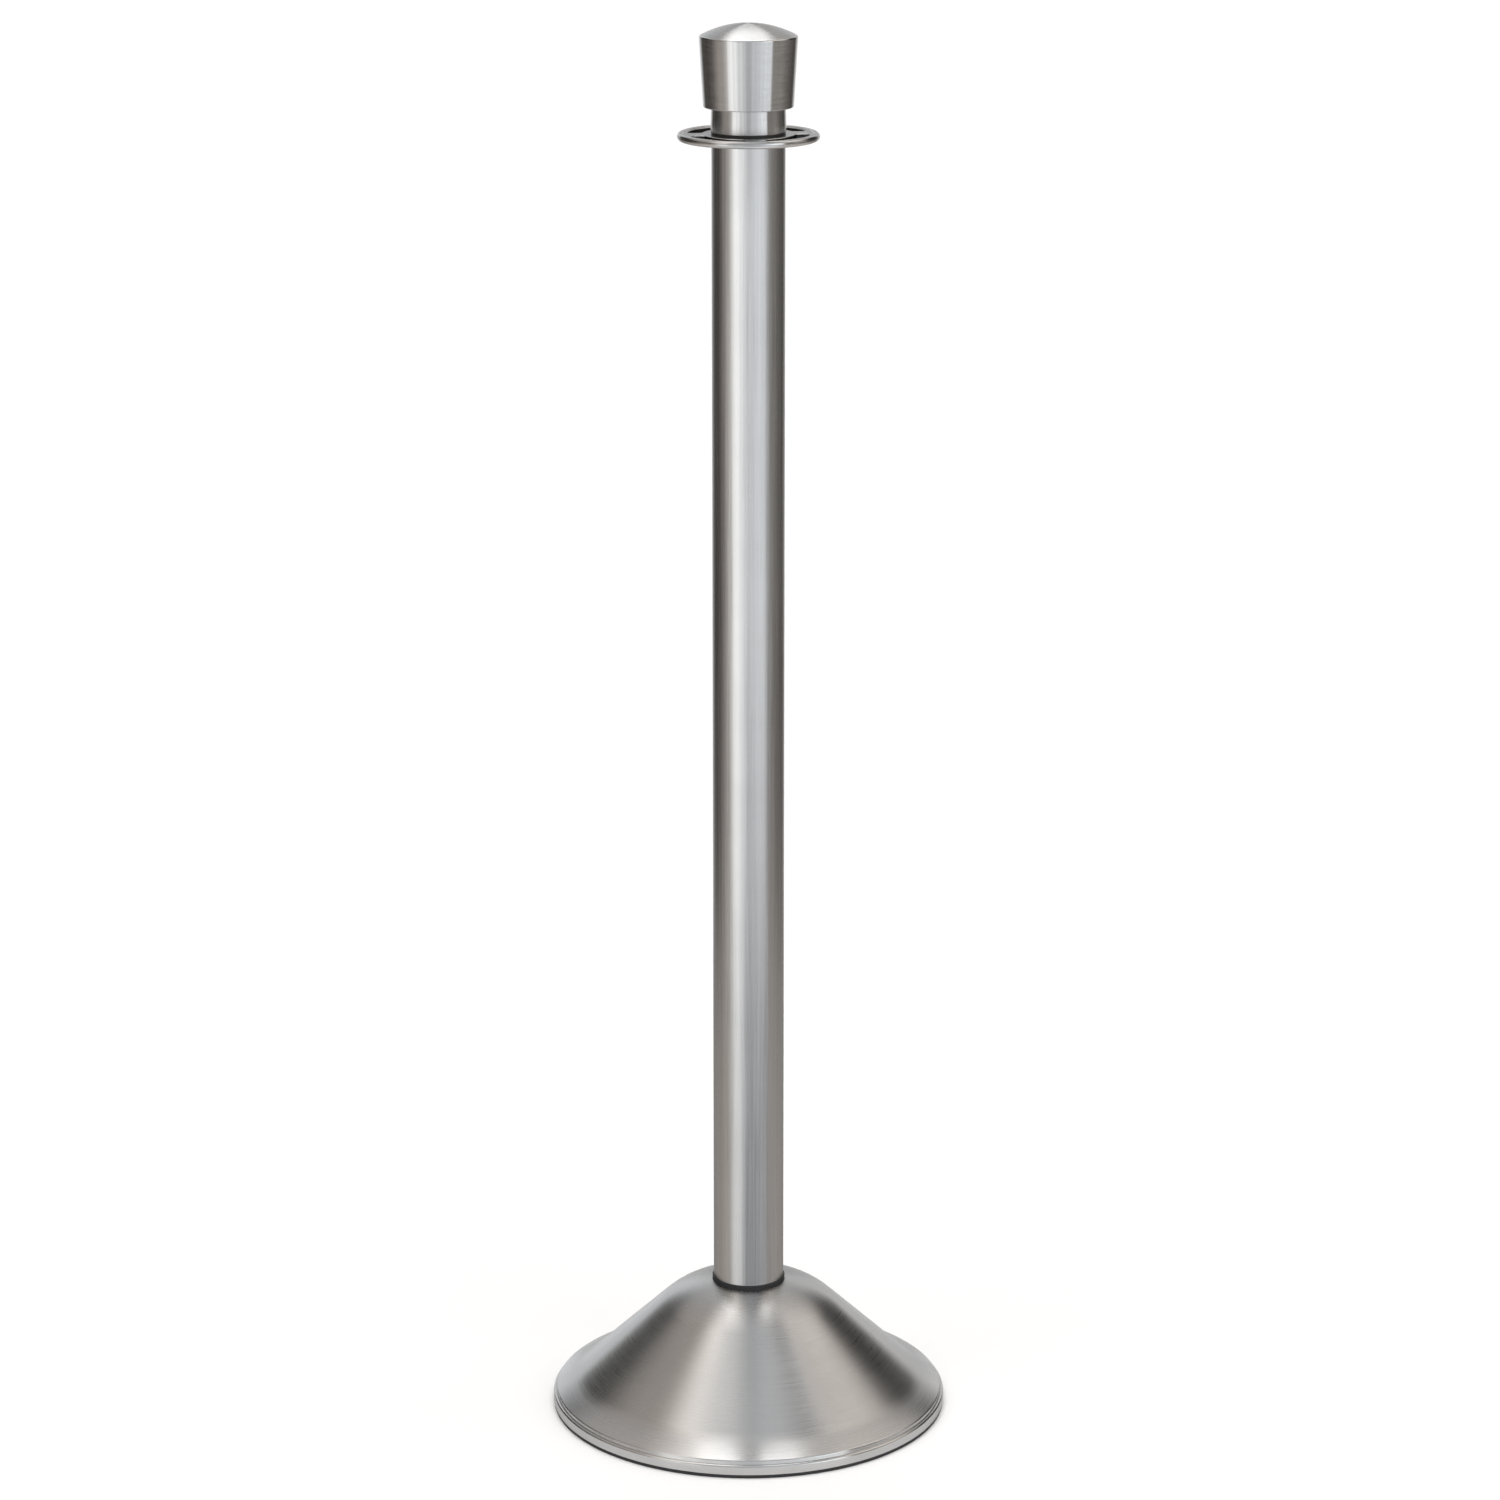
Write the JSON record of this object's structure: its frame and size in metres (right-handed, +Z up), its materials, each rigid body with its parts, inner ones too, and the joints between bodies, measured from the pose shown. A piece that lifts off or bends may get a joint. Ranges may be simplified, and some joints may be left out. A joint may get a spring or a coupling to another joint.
{
  "type": "rope barrier stanchion",
  "caption": "Free-standing stanchion: weighted domed round base, tube post, slotted rope ring and a screw-down domed crown, in brushed stainless steel.",
  "frame": {"origin": "on the floor, under the middle of the base", "axes": "+Z up along the post; -Y is the front, +X is to the right when seen from the front"},
  "size_m": [0.2872, 0.2872, 1.0082],
  "materials": {
    "brushed_stainless": "stainless tube, fine grain along the post, satin",
    "spun_stainless": "spun stainless sheet, fine circular grain, satin",
    "crown_stainless": "stainless, fine circular grain, glossier than the post",
    "ring_stainless": "cast stainless, linished",
    "zinc_steel": "zinc-plated steel",
    "cast_iron": "grey iron casting, black enamel",
    "cast_aluminium": "die-cast aluminium",
    "black_rubber": "matt black rubber",
    "black_nylon": "black nylon",
    "white_nylon": "natural nylon"
  },
  "bodies": {
    "post": {"floor_ring": "black_rubber", "base_weight": "cast_iron", "base_plate": "zinc_steel", "plate_screws": "zinc_steel", "base_cover": "spun_stainless", "hub_spacer": "zinc_steel", "post_gasket": "black_rubber", "bottom_plug": "cast_aluminium", "post_tube": "brushed_stainless", "top_plug": "cast_aluminium", "tie_rod": "zinc_steel", "rod_washer": "zinc_steel", "rod_lock_washer": "zinc_steel", "rod_nut": "zinc_steel", "top_lock_washer": "zinc_steel", "top_nut": "zinc_steel"},
    "ring": {"rope_ring": "ring_stainless", "ring_bush": "white_nylon"},
    "thrust": {"thrust_washer": "black_nylon"},
    "crown": {"crown_neck": "crown_stainless", "crown_cap": "crown_stainless", "crown_insert": "zinc_steel"}
  },
  "joints": [
    {"name": "ring_turn", "type": "hinge", "parent": "post", "child": "ring", "pos_m": [0, 0, 0.9312], "axis": [0, 0, 1], "continuous": true},
    {"name": "crown_lift", "type": "slide", "parent": "post", "child": "thrust", "axis": [0, 0, 1], "range_m": [0, 0.012]},
    {"name": "crown_turn", "type": "hinge", "parent": "thrust", "child": "crown", "pos_m": [0, 0, 0.956], "axis": [0, 0, 1], "range_deg": [0, 2880]}
  ],
  "couplings": [
    {"joint": "crown_lift", "follows": "crown_turn", "m_per_rad": 0.00023873}
  ]
}
